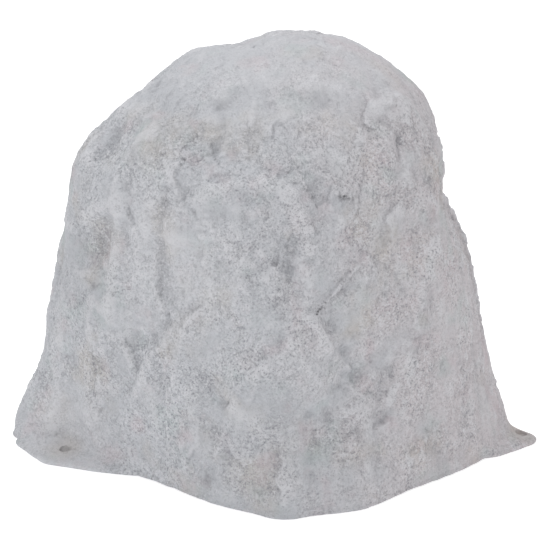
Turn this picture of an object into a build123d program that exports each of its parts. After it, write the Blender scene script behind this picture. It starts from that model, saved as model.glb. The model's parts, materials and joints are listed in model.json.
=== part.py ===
# Hollow landscape rock that covers a pond pump, with the two loose ground stakes that pin it down.
# X runs from stake tab to stake tab, the front is -Y, and Z = 0 is the ground.
import os
from math import atan2, cos, degrees, exp, pi, radians, sin

from build123d import *

# Shell
wall = 5.0
half_width = 300.0        # typical half sizes, which turn the wall into three scale factors
half_depth = 230.0
crown_height = 590.0
crown_point = (25.0, 5.0)
spine_x = 15.0            # the middle of every section
section_points = 28
# height, left, right, front, back, then how full the left front, right front and back
# corners are (1 = diamond, 2 = ellipse)
levels = (
    (0.0, -372.0, 345.0, -268.0, 262.0, 1.12, 1.33, 1.70),
    (30.0, -364.0, 336.0, -262.0, 256.0, 1.15, 1.38, 1.72),
    (90.0, -338.0, 315.0, -247.0, 243.0, 1.25, 1.50, 1.80),
    (180.0, -316.0, 288.0, -230.0, 230.0, 1.42, 1.75, 1.90),
    (290.0, -288.0, 267.0, -213.0, 214.0, 1.62, 1.95, 2.00),
    (360.0, -270.0, 238.0, -202.0, 204.0, 1.85, 2.05, 2.10),
    (440.0, -245.0, 226.0, -180.0, 186.0, 2.05, 2.10, 2.20),
    (505.0, -182.0, 199.0, -140.0, 150.0, 2.10, 2.10, 2.20),
    (550.0, -122.0, 154.0, -96.0, 108.0, 2.05, 2.05, 2.10),
    (578.0, -55.0, 98.0, -46.0, 62.0, 2.00, 2.00, 2.00),
)
# direction, half angle, middle height, half height, how far it stands out (- is a hollow)
lumps = (
    (196.0, 13.0, 10.0, 120.0, -32.0),     # the wall steps back above the left stake tab
    (212.0, 12.0, 320.0, 90.0, -12.0),     # pocket on the left shoulder
    (262.0, 16.0, 230.0, 170.0, 12.0),     # big flake down the front
    (305.0, 14.0, 170.0, 110.0, -14.0),    # hollow beside the front nose
    (224.0, 12.0, 0.0, 70.0, -14.0),       # the foot steps back past the left tab
    (296.0, 12.0, 0.0, 70.0, 16.0),        # and bulges right of the nose
    (340.0, 12.0, 420.0, 110.0, 9.0),      # ridge on the right shoulder
    (40.0, 18.0, 260.0, 150.0, 12.0),      # the far side has the same sort of lumps
    (95.0, 14.0, 330.0, 130.0, -14.0),
    (140.0, 18.0, 200.0, 140.0, 12.0),
)

# Stake tabs: each tab's outline is the hull of its circles, given as centre and radius
tab_thickness = 5.0
left_tab_circles = (      # a wide shallow flange along the left front edge
    ((-336.0, -20.0), 24.0),
    ((-294.0, -66.0), 32.0),
    ((-235.0, -90.0), 30.0),
    ((-185.0, -112.0), 20.0),
    ((-240.0, -20.0), 40.0),
)
right_tab_circles = (     # a rounded tip that stands out from the wall
    ((354.0, -12.0), 22.0),
    ((290.0, -12.0), 62.0),
)
left_hole = (-285.0, -66.0)
right_hole = (354.0, -8.0)
hole_diameter = 11.0      # 7/16 inch, which clears a 3/8 inch spike

# Ground stakes: galvanised 3/8 inch landscape spikes that lie on the ground behind the foot
shaft_diameter = 9.5
head_diameter = 19.0
head_height = 3.0
head_round = 1.0
shaft_length = 250.0
point_length = 18.0
point_diameter = 0.8      # the tip is left slightly blunt
stake_places = (          # side, where the head is, and the way from point to head in degrees from +X
    ("left", (-310.0, 192.0), 200.0),
    ("right", (300.0, 198.0), 340.0),
)

# A lying stake rests on the rim of its head and on the far end of its shaft
stake_lean = atan2((head_diameter - shaft_diameter) / 2, shaft_length - point_length)
head_lift = head_diameter / 2 * cos(stake_lean)
os.makedirs("parts", exist_ok=True)


def outline_point(level, turn):
    """One point of a level's outline, at a turn from +X towards +Y in radians."""
    height, left, right, front, back, left_fullness, right_fullness, back_fullness = level
    across = right - spine_x if cos(turn) > 0 else left - spine_x
    along = back if sin(turn) > 0 else front
    front_fullness = right_fullness if cos(turn) > 0 else left_fullness
    fullness = back_fullness if sin(turn) > 0 else front_fullness
    x = across * abs(cos(turn)) ** (2 / fullness)
    y = along * abs(sin(turn)) ** (2 / fullness)
    reach = (x * x + y * y) ** 0.5
    direction = degrees(atan2(y, x)) % 360
    stand_out = 0.0
    for lump_direction, half_angle, middle, half_height, amount in lumps:
        away = abs(direction - lump_direction)
        sideways = min(away, 360 - away) / half_angle
        upwards = (height - middle) / half_height
        stand_out += amount * exp(-sideways**2 - upwards**2)
    grow = 1 + stand_out / reach
    return spine_x + x * grow, y * grow


def outline(level, inset):
    """Points of a level's outline, drawn in by an inset on every side."""
    across = 1 - inset / half_width
    along = 1 - inset / half_depth
    turns = [2 * pi * step / section_points for step in range(section_points)]
    points = [outline_point(level, turn) for turn in turns]
    return [(x * across, y * along) for x, y in points]


def loft_rock(inset, mode):
    """Loft the levels up to the crown; an inset gives the hollow inside."""
    shrink = 1 - inset / crown_height
    faces = []
    for level in levels:
        with BuildSketch(Plane.XY.offset(level[0] * shrink), mode=Mode.PRIVATE) as section:
            with BuildLine():
                Spline(*outline(level, inset), periodic=True)
            make_face()
        faces.append(section.sketch.faces()[0])
    top = Vertex(*crown_point, crown_height * shrink)
    loft(sections=[*faces, top], mode=mode)


with BuildPart() as rock_shell:
    loft_rock(0.0, Mode.ADD)
    for circles in (left_tab_circles, right_tab_circles):
        with BuildSketch():
            with BuildLine():
                for centre, radius in circles:
                    CenterArc(centre, radius, 0, 360)
            make_hull()
    extrude(amount=tab_thickness)
    loft_rock(wall, Mode.SUBTRACT)
    with Locations((*left_hole, tab_thickness), (*right_hole, tab_thickness)):
        Cylinder(
            hole_diameter / 2,
            tab_thickness,
            align=(Align.CENTER, Align.CENTER, Align.MAX),
            mode=Mode.SUBTRACT,
        )
rock_shell.part.label = "rock_shell"
export_step(rock_shell.part, "parts/rock_shell.step")

for side, (head_x, head_y), turn in stake_places:
    towards_head = Vector(
        cos(radians(turn)) * cos(stake_lean),
        sin(radians(turn)) * cos(stake_lean),
        sin(stake_lean),
    )
    under_head = Vector(head_x, head_y, head_lift)
    with BuildPart(Plane(origin=under_head, z_dir=towards_head)) as stake:
        Cylinder(
            head_diameter / 2,
            head_height,
            align=(Align.CENTER, Align.CENTER, Align.MIN),
        )
        Cylinder(
            shaft_diameter / 2,
            shaft_length,
            align=(Align.CENTER, Align.CENTER, Align.MAX),
        )
        along = Axis(under_head, towards_head)
        fillet(stake.edges().group_by(along)[-1], head_round)
        point_inset = (shaft_diameter - point_diameter) / 2
        chamfer(stake.edges().group_by(along)[0], point_length, point_inset)
    stake.part.label = f"{side}_stake"
    export_step(stake.part, f"parts/{side}_stake.step")
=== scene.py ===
import json
import math

import bmesh
import bpy
import numpy as np
from mathutils import Matrix, Vector, kdtree, noise
from mathutils.bvhtree import BVHTree


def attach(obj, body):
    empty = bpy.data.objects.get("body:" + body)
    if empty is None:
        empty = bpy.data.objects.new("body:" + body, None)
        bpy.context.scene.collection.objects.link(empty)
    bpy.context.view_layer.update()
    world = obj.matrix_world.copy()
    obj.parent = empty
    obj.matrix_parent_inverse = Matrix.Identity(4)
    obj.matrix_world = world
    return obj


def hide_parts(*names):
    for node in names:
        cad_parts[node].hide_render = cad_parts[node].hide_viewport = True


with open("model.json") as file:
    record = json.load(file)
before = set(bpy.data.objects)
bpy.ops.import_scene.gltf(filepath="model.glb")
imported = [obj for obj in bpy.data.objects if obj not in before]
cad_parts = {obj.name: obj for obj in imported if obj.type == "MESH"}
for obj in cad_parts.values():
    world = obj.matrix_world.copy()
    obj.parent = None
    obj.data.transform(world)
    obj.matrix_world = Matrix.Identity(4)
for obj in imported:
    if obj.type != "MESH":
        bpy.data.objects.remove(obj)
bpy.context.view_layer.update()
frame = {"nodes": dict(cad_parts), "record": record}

mm = 0.001


def hexColour(code):
    # sRGB hex to the linear colour that shaders work in
    parts = [int(code[i:i + 2], 16) / 255 for i in (1, 3, 5)]
    linear = [p / 12.92 if p <= 0.04045 else ((p + 0.055) / 1.055) ** 2.4 for p in parts]
    return (*linear, 1.0)


def addNode(tree, kind, settings=None, links=None):
    # a setting goes to the input of that name or number if there is one, otherwise to the node itself
    node = tree.nodes.new(kind)
    for name, value in (settings or {}).items():
        if isinstance(name, int) or name in node.inputs:
            node.inputs[name].default_value = value
        else:
            setattr(node, name, value)
    for name, source in (links or {}).items():
        tree.links.new(source, node.inputs[name])
    return node


def newMaterial(name):
    material = bpy.data.materials.new(name)
    material.use_nodes = True
    tree = material.node_tree
    tree.nodes.clear()
    return material, tree


def smoothStep(value):
    value = np.clip(value, 0, 1)
    return value * value * (3 - 2 * value)


def blur(grid, times):
    # a soft average along the rows and round the columns
    for _ in range(times):
        grid = (np.roll(grid, 1, 1) + 2 * grid + np.roll(grid, -1, 1)) / 4
        middle = (grid[:-2] + 2 * grid[1:-1] + grid[2:]) / 4
        grid = np.concatenate([grid[:1], middle, grid[-1:]])
    return grid


# camera: a long lens, a little above the rock
cameraSettings = {
    "eye": (6 * mm, -2687 * mm, 1169 * mm),
    "target": (6 * mm, -134 * mm, 290 * mm),
    "lens": 134.47,
    "farthest": 50,
}


def makeCamera(s):
    data = bpy.data.cameras.new("camera")
    data.lens = s["lens"]
    data.clip_end = s["farthest"]
    camera = bpy.data.objects.new("camera", data)
    bpy.context.scene.collection.objects.link(camera)
    look = Vector(s["target"]) - Vector(s["eye"])
    turn = look.to_track_quat("-Z", "Y").to_matrix().to_4x4()
    camera.matrix_world = Matrix.Translation(s["eye"]) @ turn
    bpy.context.scene.camera = camera


makeCamera(cameraSettings)
print("camera ready")


# the rock: a grid of columns round the shell and rows up it, pushed out and in along its normals
rockSettings = {
    "spineX": 15 * mm,          # the upright line that the columns turn about
    "columns": 640,
    "rows": 250,
    "innerRows": 60,
    "crownHeight": 440 * mm,    # columns turn in towards this point above it
    "crownSteps": 36,
    "wallStart": 14 * mm,
    "wallStep": 8 * mm,
    "tabTop": 5 * mm,
    "farOut": 0.8,              # outside every part of the shell
    "shell": 5.5 * mm,          # wall thickness
    "innerGrain": (0.5 * mm, 9 * mm),    # height and size of the unevenness inside
    "edgeRound": 1.2 * mm,      # rounding of the foot's upper edge
    "edgeWaver": 1.6 * mm,      # how unevenly the moulding was trimmed
    "rim": ((1.5 * mm, 0), (0.2 * mm, 1.2 * mm), (0, 3.4 * mm)),    # inset and height up its rounded edge
    "underRim": (0.33, 0.66),   # steps from the rim in to the hollow
    "outerBlur": 5,             # rounds of softening of the shell's facets
    "innerBlur": 2,
    "paintedLightBlur": 50,
    "edgeRows": 6,              # rows that the relief takes to reach its full height
    "footStart": 6 * mm,        # big shapes die away towards the ground
    "footFade": 45 * mm,
    "stakeReach": 12 * mm,      # nothing grows out over a stake hole, this far round it
    "headRoom": 26 * mm,        # and the wall stays back over this much more
    "clearBelow": 320 * mm,     # up to this height
    "capHeight": 515 * mm,      # the crown above this is worn smooth
    "capFade": 30 * mm,
    "capWear": 0.6,             # share of the relief that is worn away there
    "paintedLightDepth": 3.2 * mm,      # relief that takes all of the painted shade, or all of the painted highlight
    "waver": (6, 55 * mm),      # drawn lines wander by this many mm, over this length
    "turn": (20, 60),           # y in mm where front shapes end, and over how many they fade
    "uneven": (0.8, 45 * mm),   # share by which drawn shapes rise and fall, and over what length
    "levelShift": 1.5,          # mm taken off every shape, so that on average they keep to the shell
    "bigChips": (
        # height in mm, width, how much taller than wide, tilt, seed
        (10, 110 * mm, 1.8, 0.45, 11),
        (8, 46 * mm, 1.7, 0.5, 12),
    ),
    "swells": (
        # height in mm, size, octaves, how much taller than wide, shift
        (4, 120 * mm, 3, 1, 5.0),
        (3, 32 * mm, 3, 5, 8.8),       # upright folds
    ),
    "slump": {"x": -48, "y": 10, "halfWidth": 42, "halfDepth": 110, "full": 560, "fade": 60, "depth": 13},
    "patch": 55 * mm,                  # size of rough and smooth patches
    "smallChips": (3.3, 19 * mm, 1.3, 0.7, 13, 0.35),    # as big ones, then what smooth patches keep
    "sand": (
        # height in mm, size, octaves, shift, what smooth patches keep
        (2.4, 13 * mm, 4, 2.2, 0.35),
        (1.6, 6 * mm, 2, 7.2, 0.2),
    ),
    "footGrain": (0.35, 4 * mm, 30 * mm),    # grain left at the ground, where it grows, over what height
    "holeGrain": (0.1, 9 * mm, 12 * mm),     # the same round the stake holes
    "holeGrainTop": 40 * mm,
}

# Front and back shapes are drawn in x and z, in mm, and hold on one side of the rock.
# A ledge stands out on the right of its line, seen from outside while going along it.
frontLedges = (
    # line, how far it stands out, how far below it fades away
    (((-95, 510), (-60, 530), (-25, 538), (20, 540), (70, 530), (100, 518), (135, 503), (170, 486)),
     -5, 55),                                                        # recess under the crown's lip
    (((-95, 412), (-75, 425), (-40, 434), (0, 435), (35, 417), (50, 385)), 6, 75),     # big flake
    (((-50, 150), (-25, 185), (0, 215), (20, 240), (48, 264), (64, 242), (84, 214), (100, 190)),
     7, 60),                                                         # peaked flake at the foot
    (((-290, 170), (-250, 228), (-218, 272)), 6, 50),                # lip under the left pocket
)
frontRidges = (
    # line, height, half width
    (((-200, 392), (-203, 303), (-210, 208), (-226, 122)), 6, 15),
    (((-264, 327), (-233, 362), (-200, 392)), 6, 12),
    (((-49, 355), (-49, 280)), 3, 12),
    (((-15, 318), (12, 300)), 3, 9),
    (((49, 350), (49, 265)), 4, 7),
    (((156, 478), (158, 420)), 4, 8),
    (((62, 542), (70, 536), (105, 524), (150, 504), (168, 494)), 6, 10),     # bright lip of the crown
    (((-62, 540), (-20, 547), (10, 548)), 3, 10),
    (((-90, 416), (-72, 428), (-40, 436), (0, 436), (32, 420)), 5, 8),       # top of the big flake
    (((-48, 156), (-25, 188), (0, 217), (20, 242), (46, 262)), 5, 7),        # arms of the peaked flake
    (((50, 262), (64, 243), (82, 216)), 7, 7),
    (((214, 376), (220, 318)), 4, 12),
    (((203, 300), (200, 262)), 3, 10),
    (((165, 146), (172, 86)), 3, 12),
    (((-165, 178), (-198, 92)), 4, 11),
    (((20, 100), (16, 0)), 3, 18),
)
frontCreases = (
    (((-208, 471), (-210, 436), (-213, 395)), 6, 12),
    (((-137, 508), (-142, 490), (-138, 462)), 6, 7),
    (((-134, 414), (-142, 380), (-150, 338)), 4, 3.5),
    (((-121, 337), (-128, 275), (-135, 240), (-152, 216), (-172, 195), (-188, 144), (-211, 84)), 3, 3.5),
    (((138, 476), (139, 430)), 4, 8),
    (((168, 474), (169, 434)), 4, 8),
    (((-8, 524), (-20, 493), (-36, 470)), 4, 11),
    (((214, 272), (230, 219)), 4, 8),
)
frontHollows = (
    # middle x, middle z, half width, half height, depth
    (-238, 312, 38, 52, 8),
    (-209, 348, 14, 30, 6),
    (21, 328, 11, 30, 5),
    (90, 178, 26, 42, 6),
    (-80, 480, 44, 26, 5),
    (52, 100, 50, 34, 4),
    (15, 196, 13, 12, -4),
    (-142, 352, 40, 30, -3),
    (-60, 380, 34, 26, -3),
    (-82, 165, 12, 20, 4),
    (164, 162, 14, 18, 4),
)
backLedges = (
    (((190, 470), (110, 500), (40, 522), (-60, 520), (-150, 470)), 5, 70),
    (((230, 300), (150, 352), (60, 372), (0, 340), (-20, 250)), 6, 75),
    (((-20, 96), (-100, 118), (-180, 128), (-250, 116)), 4, 60),
)
backRidges = (
    (((-210, 400), (-220, 280), (-236, 150)), 5, 14),
    (((120, 260), (140, 150), (150, 60)), 4, 12),
    (((-60, 440), (-56, 340), (-72, 262), (-96, 180)), 6, 15),
)
backCreases = (
    (((40, 480), (52, 400), (84, 330)), 5, 8),
    (((-110, 400), (-124, 320), (-126, 240)), 4, 8),
    (((200, 240), (214, 120)), 5, 8),
)
backHollows = (
    (-150, 330, 40, 60, 8),
    (90, 230, 40, 50, 7),
    (-30, 90, 60, 40, 5),
)

mounts = {mount["name"]: mount for mount in frame["record"]["mounts"]}
holes = [Vector(mounts[side + "_stake_hole"]["pos_m"]) for side in ("left", "right")]


def shellColumns(s):
    # follow the CAD shell's outer face: a radius and a height for each point up a column
    shell = frame["nodes"]["rock_shell"]
    tree = BVHTree.FromObject(shell, bpy.context.evaluated_depsgraph_get())
    angles = np.arange(s["columns"]) * 2 * math.pi / s["columns"]
    heights = np.arange(s["wallStart"], s["crownHeight"], s["wallStep"])
    lifts = np.linspace(0, math.pi / 2, s["crownSteps"])

    def radius(angle, height, lift=0.0):
        out = Vector((math.cos(angle) * math.cos(lift), math.sin(angle) * math.cos(lift), math.sin(lift)))
        centre = Vector((s["spineX"], 0, height))
        place = tree.ray_cast(centre + out * s["farOut"], -out)[0]
        return (place - centre).length

    rims, walls = [], []
    for angle in angles:
        rims.append(radius(angle, s["tabTop"] / 2))
        wall = [(radius(angle, h), h) for h in heights]
        for lift in lifts:
            reach = radius(angle, s["crownHeight"], lift)
            wall.append((reach * math.cos(lift), s["crownHeight"] + reach * math.sin(lift)))
        walls.append(wall)
    return angles, np.array(rims), np.array(walls)


def evenly(line, count):
    # the same line with its points evenly spaced
    steps = np.hypot(*np.diff(line, axis=0).T)
    length = np.concatenate([[0], np.cumsum(steps)])
    places = np.linspace(0, length[-1], count)
    return np.stack([np.interp(places, length, line[:, i]) for i in (0, 1)], axis=1)


def toSpace(radii, heights, angles, s):
    return np.stack([
        s["spineX"] + radii * np.cos(angles),
        radii * np.sin(angles),
        heights + 0 * angles,
    ], axis=-1)


def gridNormals(points):
    up = np.gradient(points, axis=0)
    around = np.roll(points, -1, 1) - np.roll(points, 1, 1)
    normals = np.cross(around, up)
    return normals / np.maximum(np.linalg.norm(normals, axis=-1, keepdims=True), 1e-12)


def cloud(points, size, octaves=4, stretch=1.0, shift=0.0):
    # fractal noise of about -1 to 1; size is its coarsest lump, stretch makes it taller than wide
    flat = points.reshape(-1, 3) / size
    flat = flat * (1, 1, 1 / stretch) + shift
    values = [noise.fractal(Vector(p), 1.0, 2.0, octaves) for p in flat]
    return np.array(values).reshape(points.shape[:-1])


def chips(points, width, stretch, tilt, seed):
    # scooped chips with sharp edges between them: the lowest of the nearest four tilted bowls
    rng = np.random.default_rng(seed)
    flat = points.reshape(-1, 3) * (1, 1, 1 / stretch)
    count = int(1.15 / (width * width * stretch))
    seeds = flat[rng.choice(len(flat), count, replace=False)]
    slopes = rng.normal(0, 1, (count, 3)) * tilt
    levels = rng.uniform(0, 1, count) * 0.25
    tree = kdtree.KDTree(count)
    for i, p in enumerate(seeds):
        tree.insert(p, i)
    tree.balance()
    near = np.array([[found[1] for found in tree.find_n(p, 4)] for p in flat])
    away = (flat[:, None, :] - seeds[near]) / width
    bowls = levels[near] + (away * slopes[near]).sum(-1) + 0.9 * (away ** 2).sum(-1)
    return (np.minimum(bowls.min(1), 0.7) - 0.3).reshape(points.shape[:-1])


def nearLine(x, z, line):
    # distance to a line, with its sign (+ on the right of it), and how far past its ends
    best = np.full(x.shape, 1e9)
    side = np.ones(x.shape)
    past = np.zeros(x.shape)
    for i, ((x0, z0), (x1, z1)) in enumerate(zip(line, line[1:])):
        run = math.hypot(x1 - x0, z1 - z0)
        dx, dz = (x1 - x0) / run, (z1 - z0) / run
        along = (x - x0) * dx + (z - z0) * dz
        held = np.clip(along, 0, run)
        gap = np.hypot(x - x0 - held * dx, z - z0 - held * dz)
        closer = gap < best
        best = np.where(closer, gap, best)
        side = np.where(closer, np.sign((x - x0) * dz - (z - z0) * dx), side)
        over = np.zeros(x.shape)
        if i == 0:
            over = np.maximum(over, -along)
        if i == len(line) - 2:
            over = np.maximum(over, along - run)
        past = np.where(closer, over, past)
    return best, side, past


def drawnShapes(x, z, ledges, ridges, creases, hollows):
    # all in mm
    softEdge, endFade, crestRound = 7, 16, 3
    shift = np.zeros(x.shape)
    for line, stand, fade in ledges:
        gap, side, past = nearLine(x, z, line)
        signed = gap * side
        edge = smoothStep((signed + softEdge) / (2 * softEdge))
        shift += stand * edge * np.exp(-np.maximum(signed, 0) / fade) * np.exp(-(past / endFade) ** 2)
    for lines, sign in ((ridges, 1), (creases, -1)):
        for line, height, width in lines:
            gap, side, past = nearLine(x, z, line)
            crest = np.exp(-(np.sqrt(gap ** 2 + crestRound ** 2) - crestRound) / width)
            shift += sign * height * crest * np.exp(-(past / (2 * width)) ** 2)
    for cx, cz, halfWidth, halfHeight, depth in hollows:
        shift -= depth * np.exp(-((x - cx) / halfWidth) ** 2 - ((z - cz) / halfHeight) ** 2)
    return shift


def holeDistance(points):
    return np.minimum(*[np.hypot(points[..., 0] - h.x, points[..., 1] - h.y) for h in holes])


def wornCrown(points, s):
    # 1 below the crown, and what wear has left of the relief on it
    return 1 - s["capWear"] * smoothStep((points[..., 2] - s["capHeight"]) / s["capFade"])


def crownSlump(x, y, z, s):
    # the crown sinks left of its peak
    across = (x - s["x"]) / s["halfWidth"]
    along = (y - s["y"]) / s["halfDepth"]
    high = smoothStep((z - s["full"] + s["fade"]) / s["fade"])
    return s["depth"] * np.exp(-across ** 2 - along ** 2) * high


def bigShape(points, s):
    # how far the rock stands out from the CAD shell, in metres
    waver, waverLength = s["waver"]
    x = points[..., 0] / mm + waver * cloud(points, waverLength, 2, shift=3.1)
    z = points[..., 2] / mm + waver * cloud(points, waverLength, 2, shift=9.7)
    y = points[..., 1] / mm
    front = drawnShapes(x, z, frontLedges, frontRidges, frontCreases, frontHollows)
    back = drawnShapes(-x, z, *[mirrorLines(group) for group in (backLedges, backRidges, backCreases)],
                       mirrorHollows(backHollows))
    amount, length = s["uneven"]
    uneven = 1 + amount * cloud(points, length, 3, shift=6.4)
    end, fade = s["turn"]
    shift = uneven * (front * smoothStep((end - y) / fade) + back * smoothStep((end + y) / fade))
    worn = wornCrown(points, s)
    for height, *chip in s["bigChips"]:
        shift += height * worn * chips(points, *chip)
    for height, size, octaves, taller, away in s["swells"]:
        shift += height * cloud(points, size, octaves, taller, away)
    shift -= crownSlump(x, y, z, s["slump"])
    shift = (shift - s["levelShift"]) * smoothStep((points[..., 2] - s["footStart"]) / s["footFade"])
    # nothing grows into the way that a stake goes in
    room = smoothStep((holeDistance(points) - s["stakeReach"]) / s["headRoom"])
    low = points[..., 2] < s["clearBelow"]
    shift = np.where(low & (shift > 0), shift * room, shift)
    return shift * mm


def mirrorLines(group):
    return [([(-x, z) for x, z in line], *rest) for line, *rest in group]


def mirrorHollows(group):
    return [(-x, *rest) for x, *rest in group]


def smallGrain(points, s):
    # chips of a few centimetres and sandy grain, strong in some patches and weak in others
    patches = smoothStep(0.5 + 1.1 * cloud(points, s["patch"], 3, shift=1.3))
    height, width, taller, tilt, seed, kept = s["smallChips"]
    grain = height * chips(points, width, taller, tilt, seed) * (kept + (1 - kept) * patches)
    for height, size, octaves, away, kept in s["sand"]:
        grain += height * cloud(points, size, octaves, shift=away) * (kept + (1 - kept) * patches)
    grain *= wornCrown(points, s)
    kept, start, fade = s["footGrain"]
    foot = kept + (1 - kept) * smoothStep((points[..., 2] - start) / fade)
    kept, start, fade = s["holeGrain"]
    clear = kept + (1 - kept) * smoothStep((holeDistance(points) - start) / fade)
    low = points[..., 2] < s["holeGrainTop"]
    return grain * foot * np.where(low, clear, 1) * mm


def gridFaces(rows, columns):
    faces = []
    for r in range(rows - 1):
        for c in range(columns):
            a, b = r * columns + c, r * columns + (c + 1) % columns
            faces.append((a, b, b + columns, a + columns))
    return faces


def makeRock(s):
    angles, rims, walls = shellColumns(s)
    print("shell followed")
    columns, rows, inner = s["columns"], s["rows"], s["innerRows"]
    turns = [Vector((12 * math.cos(angle), 12 * math.sin(angle), 0.5)) for angle in angles]
    rims = rims + s["edgeWaver"] * np.array([noise.fractal(turn, 1, 2, 3) for turn in turns])

    # outer face: from the tab's top edge, across the tab, up the wall and over the crown
    top = s["tabTop"]
    outer = np.stack([
        evenly(np.concatenate([[(rim - s["edgeRound"], top)], wall]), rows) for rim, wall in zip(rims, walls)
    ], axis=1)
    radii, heights = blur(outer[..., 0], s["outerBlur"]), blur(outer[..., 1], s["outerBlur"])
    radii[-1] = 0
    heights[-1] = heights[-1].mean()
    base = toSpace(radii, heights, angles, s)
    normals = gridNormals(base)
    normals[-1] = (0, 0, 1)
    shape = bigShape(base, s)
    shape[-1] = shape[-1].mean()
    grain = smallGrain(base, s)
    grain[-1] = grain[-1].mean()
    print("shapes raised")
    settle = smoothStep(np.arange(rows) / s["edgeRows"])[:, None]
    lift = (shape + grain) * settle
    face = base + normals * lift[..., None]
    # relief: height above the softened surface round it, which the stone material turns into painted shade in
    # hollows and painted highlight on high spots
    relief = np.clip((lift - blur(lift, s["paintedLightBlur"])) / s["paintedLightDepth"], -1, 1)

    # rim: rounded edge of the moulding, then in under the tabs to the hollow
    rim = [toSpace(rims - inset, np.full(columns, height), angles, s) for inset, height in s["rim"]]

    # inner face: a smoother copy of the wall, one shell thickness in
    innerLine = np.stack([
        evenly(np.concatenate([[(wall[0][0], 0)], wall]), inner) for wall in walls
    ], axis=1)
    innerRadii, innerHeights = [blur(innerLine[..., i], s["innerBlur"]) for i in (0, 1)]
    innerBase = toSpace(innerRadii, innerHeights, angles, s)
    innerNormals = gridNormals(innerBase)
    innerNormals[-1] = (0, 0, 1)
    grainHeight, grainSize = s["innerGrain"]
    innerShift = bigShape(innerBase, s) - s["shell"] + grainHeight * cloud(innerBase, grainSize, 3)
    innerShift[-1] = innerShift[-1].mean()
    hollow = innerBase + innerNormals * innerShift[..., None]
    hollow[0, :, 2] = 0
    under = [rim[0] * (1 - t) + hollow[0] * t for t in s["underRim"]]

    # one closed skin: hollow from the crown down, under the rim, and up the outside
    rings = [*hollow[:-1][::-1], *under[::-1], *rim, *face[:-1]]
    points = np.concatenate([*rings, hollow[-1][:1], face[-1][:1]])
    faces = gridFaces(len(rings), columns)
    innerTop, outerTop = len(rings) * columns, len(rings) * columns + 1
    last = (len(rings) - 1) * columns
    for c in range(columns):
        d = (c + 1) % columns
        faces.append((d, c, innerTop))
        faces.append((last + c, last + d, outerTop))
    mesh = bpy.data.meshes.new("rock")
    mesh.from_pydata([tuple(p) for p in points], [], faces)
    skip = (len(hollow) - 1 + len(under) + len(rim)) * columns
    reliefs = np.zeros(len(points))
    reliefs[skip:skip + (rows - 1) * columns] = relief[:-1].ravel()
    layer = mesh.attributes.new("relief", "FLOAT", "POINT")
    layer.data.foreach_set("value", reliefs)
    inside = np.zeros(len(mesh.polygons), dtype=np.int32)
    innerFaces = (len(hollow) - 1 + len(under)) * columns
    inside[:innerFaces] = 1
    inside[-2 * columns::2] = 1
    mesh.polygons.foreach_set("material_index", inside)
    mesh.update()
    rock = bpy.data.objects.new("rock", mesh)
    bpy.context.scene.collection.objects.link(rock)
    return rock


def lathe(name, profile, x, y, around=48):
    # a closed turned solid from (radius, height) points that start and end on its axis
    shape = bmesh.new()
    rings = []
    for radius, height in profile:
        if radius == 0:
            rings.append([shape.verts.new((x, y, height))])
        else:
            turn = 2 * math.pi / around
            rings.append([
                shape.verts.new((x + radius * math.cos(i * turn), y + radius * math.sin(i * turn), height))
                for i in range(around)
            ])
    for low, high in zip(rings, rings[1:]):
        for i in range(around):
            j = (i + 1) % around
            loop = [low[i % len(low)], low[j % len(low)], high[j % len(high)], high[i % len(high)]]
            shape.faces.new(list(dict.fromkeys(loop)))
    bmesh.ops.recalc_face_normals(shape, faces=shape.faces)
    mesh = bpy.data.meshes.new(name)
    shape.to_mesh(mesh)
    shape.free()
    turned = bpy.data.objects.new(name, mesh)
    bpy.context.scene.collection.objects.link(turned)
    return turned


# a straight hole with a worn upper edge through each tab: (radius, height) in mm
holeProfile = ((0, -4), (5.5, -4), (5.5, 3.4), (5.9, 4.4), (6.9, 5.2), (8.5, 5.8), (8.5, 14), (0, 14))


def drillHoles(rock):
    for hole in holes:
        cutter = lathe("cutter", [(r * mm, h * mm) for r, h in holeProfile], hole.x, hole.y)
        cut = rock.modifiers.new("hole", "BOOLEAN")
        cut.operation = "DIFFERENCE"
        cut.solver = "FAST"
        cut.object = cutter
        mesh = bpy.data.meshes.new_from_object(rock.evaluated_get(bpy.context.evaluated_depsgraph_get()))
        rock.modifiers.remove(cut)
        rock.data = mesh
        bpy.data.objects.remove(cutter)
    rock.data.polygons.foreach_set("use_smooth", [True] * len(rock.data.polygons))


rock = makeRock(rockSettings)
drillHoles(rock)
print("rock has", len(rock.data.polygons), "faces")


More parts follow.
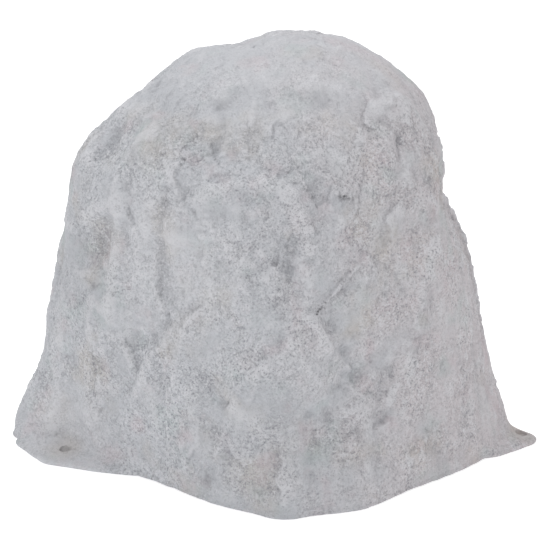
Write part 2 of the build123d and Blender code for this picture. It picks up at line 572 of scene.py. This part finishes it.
stoneSettings = {
    # cool is the stone's grey; warm is painted warm light on the right of the rock
    "cool": "#B6B8BD",
    "warm": "#BCB6B9",
    # pale serves for pale grains and for painted highlights; shade for dark grains, darker areas and painted
    # shade
    "pale": "#CBCBCF",
    "shade": "#85868B",
    "tan": "#A89C90",
    "warmLightEdge": (-50 * mm, 280 * mm),       # across the rock, where painted cool light from the left turns to painted warm light from the right
    "warmLightSway": 500 * mm,                   # how widely that edge wanders
    "capEdge": (470 * mm, 530 * mm),        # up the rock, where the grit thins out on the worn crown
    "patch": 55 * mm,                       # rough and smooth patches
    "tints": (
        # brushed stains: colour, size, how much taller than wide, seed, noise where they start
        # and are full, strength
        ("#B1A699", 80 * mm, 1, 7, 0.52, 0.72, 0.40),
        ("#A5B3B2", 50 * mm, 1, 11, 0.54, 0.72, 0.40),
        ("#BBABB0", 45 * mm, 1, 17, 0.54, 0.72, 0.45),
        ("#9C9DA1", 22 * mm, 6, 4, 0.45, 0.70, 0.30),
        ("#C6C7CA", 26 * mm, 3, 23, 0.52, 0.72, 0.45),
    ),
    "grits": (
        # sand and pits, drawn a little coarse so that they show; over the sand's own grain the dark specks
        # sit in the bump's pits as painted shade and the pale ones on its tops as painted highlight: size,
        # seed, bump depth, strength of the dark and of the pale specks in a rough patch
        (2.6 * mm, 1, 1.7 * mm, 0.90, 1.0),
        (5.5 * mm, 3, 1.8 * mm, 0.50, 0.62),
        (12 * mm, 5, 2.0 * mm, 0.22, 0.25),
    ),
    "patchesAndPaintedLight": (
        # areas darker or paler than the rest, two of them painted light: middle x, y and z, radius, colour,
        # strength
        # darker low on the front, towards the ground
        ((0, -262 * mm, 60 * mm), 170 * mm, "#85868B", 0.12),
        # paler on the left shoulder
        ((-150 * mm, -190 * mm, 330 * mm), 150 * mm, "#CBCBCF", 0.30),
        # painted shade in the recessed pocket on the left
        ((-285 * mm, -80 * mm, 270 * mm), 110 * mm, "#85868B", 0.12),
        # painted highlight over the crown, where light falls from above
        ((30 * mm, -40 * mm, 590 * mm), 220 * mm, "#CBCBCF", 0.30),
        # paler low on the left, round the left stake hole
        ((-285 * mm, -70 * mm, 20 * mm), 110 * mm, "#CBCBCF", 0.42),
    ),
    "distortion": 0.3,              # breaks round grains into flakes
    "gritPatch": (0.36, 0.6),       # roughness of a patch where grit starts to show, and where it is full
    "leastGrit": 0.25,              # share of the specks in the smoothest patches
    "capSmooth": 0.14,              # how much smoother the worn crown counts
    "darkSpecks": (0.47, 0.34),     # noise where specks start and are full
    "paleSpecks": (0.53, 0.66),
    "reliefPaintedShade": (-0.2, -1.0, 0.38),    # relief where the painted shade starts, where it is full, its strength
    # where the painted highlight on high spots starts, where it is full, its strength
    "reliefPaintedHighlight": (0.05, 0.9, 0.6),
    "holeWash": (40 * mm, 8 * mm, 0.3),   # where the brown wash starts and where it is full, by distance from a stake hole, and its strength
    "roughness": 0.9,
    "ior": 1.46,
}


def castStoneResin(s):
    # Polyester resin filled with sand, cast in a mould taken from a real rock, then brushed with thin
    # tints. The eye gets a dead matt grey with sandy grain and faint warm stains; over it are painted shade
    # in hollows and pits, painted highlight on high spots, grain tops and the crown, and painted warm light
    # towards the right.
    material, tree = newMaterial("castStoneResin")
    place = addNode(tree, "ShaderNodeTexCoord").outputs["Object"]
    split = addNode(tree, "ShaderNodeSeparateXYZ", links={"Vector": place})
    relief = addNode(tree, "ShaderNodeAttribute", {"attribute_name": "relief"}).outputs["Fac"]
    patches = addNode(tree, "ShaderNodeTexNoise", {"Scale": 1 / s["patch"], "Detail": 4.0}, {"Vector": place})
    sway = addNode(tree, "ShaderNodeMath",
                   {"operation": "MULTIPLY_ADD", 1: s["warmLightSway"], 2: -s["warmLightSway"] / 2},
                   {0: patches.outputs["Fac"]})
    sideways = addNode(tree, "ShaderNodeMath", {"operation": "ADD"},
                       {0: split.outputs["X"], 1: sway.outputs["Value"]})
    worn = addNode(tree, "ShaderNodeMapRange", {
        "From Min": s["capEdge"][0], "From Max": s["capEdge"][1], "To Max": s["capSmooth"],
    }, {"Value": split.outputs["Z"]})
    roughest = addNode(tree, "ShaderNodeMath", {"operation": "SUBTRACT"},
                       {0: patches.outputs["Fac"], 1: worn.outputs["Result"]})

    # every tint: what drives it, its colour, where it starts and is full, its strength or what sets that
    # painted light: the grey turns warm towards the right, as warm light from that side and cool light from
    # the left would tint it
    layers = [(sideways.outputs["Value"], s["warm"], *s["warmLightEdge"], 1.0)]
    for code, size, taller, seed, start, full, strength in s["tints"]:
        mapped = addNode(tree, "ShaderNodeMapping",
                         {"Scale": (1, 1, 1 / taller), "Location": (seed, seed, seed)}, {"Vector": place})
        stain = addNode(tree, "ShaderNodeTexNoise", {"Scale": 1 / size, "Detail": 4.0},
                        {"Vector": mapped.outputs["Vector"]})
        layers.append((stain.outputs["Fac"], code, start, full, strength))
    # painted shade in the hollows and painted highlight on the high spots, by the relief height
    layers.append((relief, s["shade"], *s["reliefPaintedShade"]))
    layers.append((relief, s["pale"], *s["reliefPaintedHighlight"]))
    bumps = []
    for size, seed, depth, dark, pale in s["grits"]:
        mapped = addNode(tree, "ShaderNodeMapping", {"Location": (seed, seed, seed)}, {"Vector": place})
        grit = addNode(tree, "ShaderNodeTexNoise",
                       {"Scale": 1 / size, "Detail": 3.0, "Roughness": 0.62, "Distortion": s["distortion"]},
                       {"Vector": mapped.outputs["Vector"]})
        bumps.append((grit.outputs["Fac"], depth))
        # dark specks where the grit is low, as painted shade in its pits, and pale specks where it is high,
        # as painted highlight on its tops
        specks = ((s["shade"], s["darkSpecks"], dark), (s["pale"], s["paleSpecks"], pale))
        for code, edges, strength in specks:
            amount = addNode(tree, "ShaderNodeMapRange", {
                "From Min": s["gritPatch"][0], "From Max": s["gritPatch"][1],
                "To Min": s["leastGrit"] * strength, "To Max": strength,
            }, {"Value": roughest.outputs["Value"]})
            layers.append((grit.outputs["Fac"], code, *edges, amount.outputs["Result"]))
    # darker and paler areas, among them painted shade in the left pocket and a painted highlight on the crown
    for middle, radius, code, strength in s["patchesAndPaintedLight"]:
        away = addNode(tree, "ShaderNodeVectorMath", {"operation": "DISTANCE", 1: middle}, {0: place})
        layers.append((away.outputs["Value"], code, radius, 0.3 * radius, strength))
    for hole in holes:      # a faint brown wash round the stake holes
        middle = (hole.x, hole.y, rockSettings["tabTop"])
        away = addNode(tree, "ShaderNodeVectorMath", {"operation": "DISTANCE", 1: middle}, {0: place})
        layers.append((away.outputs["Value"], s["tan"], *s["holeWash"]))

    colour = None
    for driver, code, start, full, strength in layers:
        amount = addNode(tree, "ShaderNodeMapRange", {
            "interpolation_type": "SMOOTHSTEP", "From Min": start, "From Max": full,
        }, {"Value": driver})
        if isinstance(strength, float):
            amount.inputs["To Max"].default_value = strength
        else:
            tree.links.new(strength, amount.inputs["To Max"])
        mixed = addNode(tree, "ShaderNodeMix",
                        {"data_type": "RGBA", 6: hexColour(s["cool"]), 7: hexColour(code)},
                        {0: amount.outputs["Result"]})
        if colour:
            tree.links.new(colour, mixed.inputs[6])
        colour = mixed.outputs[2]

    shader = addNode(tree, "ShaderNodeBsdfPrincipled", {"Roughness": s["roughness"], "IOR": s["ior"]},
                     {"Base Color": colour})
    lower = None
    for height, depth in bumps:
        links = {"Height": height} if lower is None else {"Height": height, "Normal": lower}
        bump = addNode(tree, "ShaderNodeBump", {"Strength": 1.0, "Distance": depth}, links)
        lower = bump.outputs["Normal"]
    tree.links.new(lower, shader.inputs["Normal"])
    addNode(tree, "ShaderNodeOutputMaterial", links={"Surface": shader.outputs["BSDF"]})
    return material


laminateSettings = {
    "resin": "#8F8C84",
    "glass": "#A9A69C",
    "strand": 3.0 * mm,     # chopped glass bundles
    "clump": 35 * mm,
    "clumpShade": 0.35,
    "strandHeight": 0.6 * mm,
    "roughness": 0.55,
    "ior": 1.55,
}


def glassLaminate(s):
    # Chopped strand glass mat wetted with polyester and left as laid: dull grey, hairy and uneven.
    material, tree = newMaterial("glassLaminate")
    place = addNode(tree, "ShaderNodeTexCoord").outputs["Object"]
    strands = addNode(tree, "ShaderNodeTexNoise", {
        "Scale": 1 / s["strand"], "Detail": 3.0, "Distortion": 2.5,
    }, {"Vector": place})
    clumps = addNode(tree, "ShaderNodeTexNoise", {"Scale": 1 / s["clump"], "Detail": 3.0},
                     {"Vector": place})
    mixed = addNode(tree, "ShaderNodeMix",
                    {"data_type": "RGBA", 6: hexColour(s["resin"]), 7: hexColour(s["glass"])},
                    {0: strands.outputs["Fac"]})
    darker = addNode(tree, "ShaderNodeMix",
                     {"data_type": "RGBA", "blend_type": "MULTIPLY", 0: s["clumpShade"]},
                     {6: mixed.outputs[2], 7: clumps.outputs["Color"]})
    bump = addNode(tree, "ShaderNodeBump", {"Strength": 0.6, "Distance": s["strandHeight"]},
                   {"Height": strands.outputs["Fac"]})
    shader = addNode(tree, "ShaderNodeBsdfPrincipled", {"Roughness": s["roughness"], "IOR": s["ior"]},
                     {"Base Color": darker.outputs[2], "Normal": bump.outputs["Normal"]})
    addNode(tree, "ShaderNodeOutputMaterial", links={"Surface": shader.outputs["BSDF"]})
    return material


zincSettings = {
    "zinc": "#A8A9A8",
    "dull": "#83847F",
    "spangle": 2.5 * mm,         # zinc crystals
    "drip": 0.8 * mm,            # fine unevenness of the dip
    "dripHeight": 0.15 * mm,
    "roughness": (0.42, 0.68),
}


def galvanisedSteel(s):
    # Forged steel spike dipped in molten zinc: dull silver grey with crystals a few millimetres across.
    material, tree = newMaterial("galvanisedSteel")
    place = addNode(tree, "ShaderNodeTexCoord").outputs["Object"]
    crystals = addNode(tree, "ShaderNodeTexVoronoi", {"Scale": 1 / s["spangle"]}, {"Vector": place})
    fine = addNode(tree, "ShaderNodeTexNoise", {"Scale": 1 / s["drip"], "Detail": 3.0}, {"Vector": place})
    shade = addNode(tree, "ShaderNodeSeparateColor", links={"Color": crystals.outputs["Color"]})
    mixed = addNode(tree, "ShaderNodeMix",
                    {"data_type": "RGBA", 6: hexColour(s["zinc"]), 7: hexColour(s["dull"])},
                    {0: shade.outputs["Red"]})
    rough = addNode(tree, "ShaderNodeMapRange",
                    {"To Min": s["roughness"][0], "To Max": s["roughness"][1]},
                    {"Value": fine.outputs["Fac"]})
    bump = addNode(tree, "ShaderNodeBump", {"Strength": 0.3, "Distance": s["dripHeight"]},
                   {"Height": fine.outputs["Fac"]})
    shader = addNode(tree, "ShaderNodeBsdfPrincipled", {"Metallic": 1.0},
                     {"Base Color": mixed.outputs[2], "Roughness": rough.outputs["Result"],
                      "Normal": bump.outputs["Normal"]})
    addNode(tree, "ShaderNodeOutputMaterial", links={"Surface": shader.outputs["BSDF"]})
    return material


rock.data.materials.clear()
rock.data.materials.append(castStoneResin(stoneSettings))
rock.data.materials.append(glassLaminate(laminateSettings))
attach(rock, "rock")
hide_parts("rock_shell")

zinc = galvanisedSteel(zincSettings)
for side in ("left", "right"):
    frame["nodes"][side + "_stake"].data.materials[0] = zinc
print("materials ready")


# studio: pale floor and large soft lights
studioSettings = {
    "floor": "#FAFAFA",
    "floorSize": 14.0,
    "floorGlow": 0.3,       # as paper lit evenly from all round would be
    "aim": (0, 0, 0.25),    # where the lamps point
    "world": "#FFFFFF",
    "worldStrength": 0.85,
    "lamps": (
        # name, place, size, power
        ("key", (-1.6, -1.6, 2.6), 1.4, 9),
        ("top", (-0.2, 0.2, 3.0), 1.8, 22),
    ),
}


def makeStudio(s):
    half = s["floorSize"] / 2
    mesh = bpy.data.meshes.new("floor")
    corners = [(-half, -half, 0), (half, -half, 0), (half, half, 0), (-half, half, 0)]
    mesh.from_pydata(corners, [], [(0, 1, 2, 3)])
    floor = bpy.data.objects.new("floor", mesh)
    bpy.context.scene.collection.objects.link(floor)
    material, tree = newMaterial("studioPaper")
    shader = addNode(tree, "ShaderNodeBsdfPrincipled", {
        "Base Color": hexColour(s["floor"]), "Roughness": 0.9,
        "Emission Color": hexColour(s["world"]), "Emission Strength": s["floorGlow"],
    })
    addNode(tree, "ShaderNodeOutputMaterial", links={"Surface": shader.outputs["BSDF"]})
    mesh.materials.append(material)
    world = bpy.data.worlds.new("studio")
    world.use_nodes = True
    background = world.node_tree.nodes["Background"]
    background.inputs["Color"].default_value = hexColour(s["world"])
    background.inputs["Strength"].default_value = s["worldStrength"]
    bpy.context.scene.world = world
    bpy.context.scene.view_settings.view_transform = "Standard"
    for name, place, size, power in s["lamps"]:
        data = bpy.data.lights.new(name, "AREA")
        data.size = size
        data.energy = power
        light = bpy.data.objects.new(name, data)
        bpy.context.scene.collection.objects.link(light)
        light.location = place
        light.rotation_euler = (Vector(s["aim"]) - Vector(place)).to_track_quat("-Z", "Y").to_euler()


makeStudio(studioSettings)
print("studio ready")
